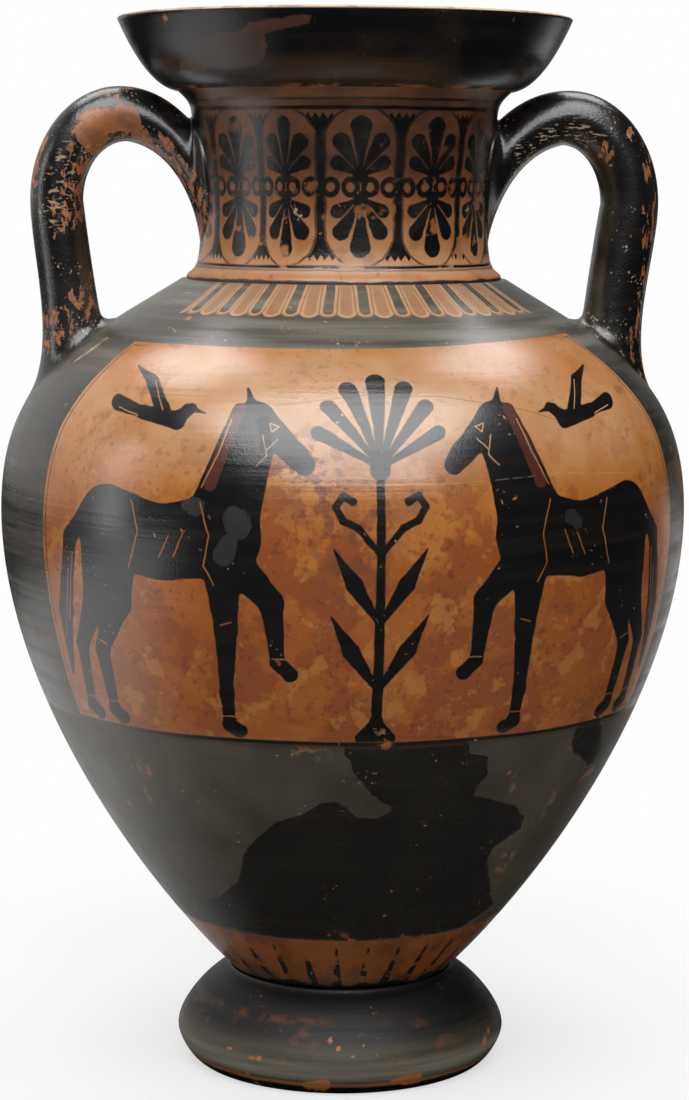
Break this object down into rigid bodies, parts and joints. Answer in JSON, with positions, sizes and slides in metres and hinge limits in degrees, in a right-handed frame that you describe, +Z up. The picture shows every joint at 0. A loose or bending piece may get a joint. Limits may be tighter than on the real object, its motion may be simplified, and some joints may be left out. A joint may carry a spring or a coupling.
{
  "type": "black-figure amphora",
  "caption": "Tall fired-clay storage jar with a swelling body, cushion foot, narrow neck, flaring mouth and upright loop handles, painted black and reserved orange.",
  "frame": {"origin": "on the ground under the middle of the foot", "axes": "+Z up along the turning axis, +X towards the right handle, the painted front faces -Y"},
  "size_m": [0.404, 0.404, 0.62],
  "materials": {
    "foot": "worn black slip over orange clay, satin",
    "body": "black slip with a reserved orange panel, satin, worn",
    "neck": "reserved orange clay with black painted ornament, satin",
    "neck_ring": "reserved orange-red clay, satin",
    "mouth": "black slip, glossy, worn at the edge",
    "handles": "black slip flaked to orange clay, satin"
  },
  "bodies": {
    "root": {"foot": "foot", "lower_body": "body", "upper_body": "body", "neck": "neck", "neck_ring": "neck_ring", "mouth": "mouth", "handle_left": "handles", "handle_right": "handles"}
  },
  "joints": []
}
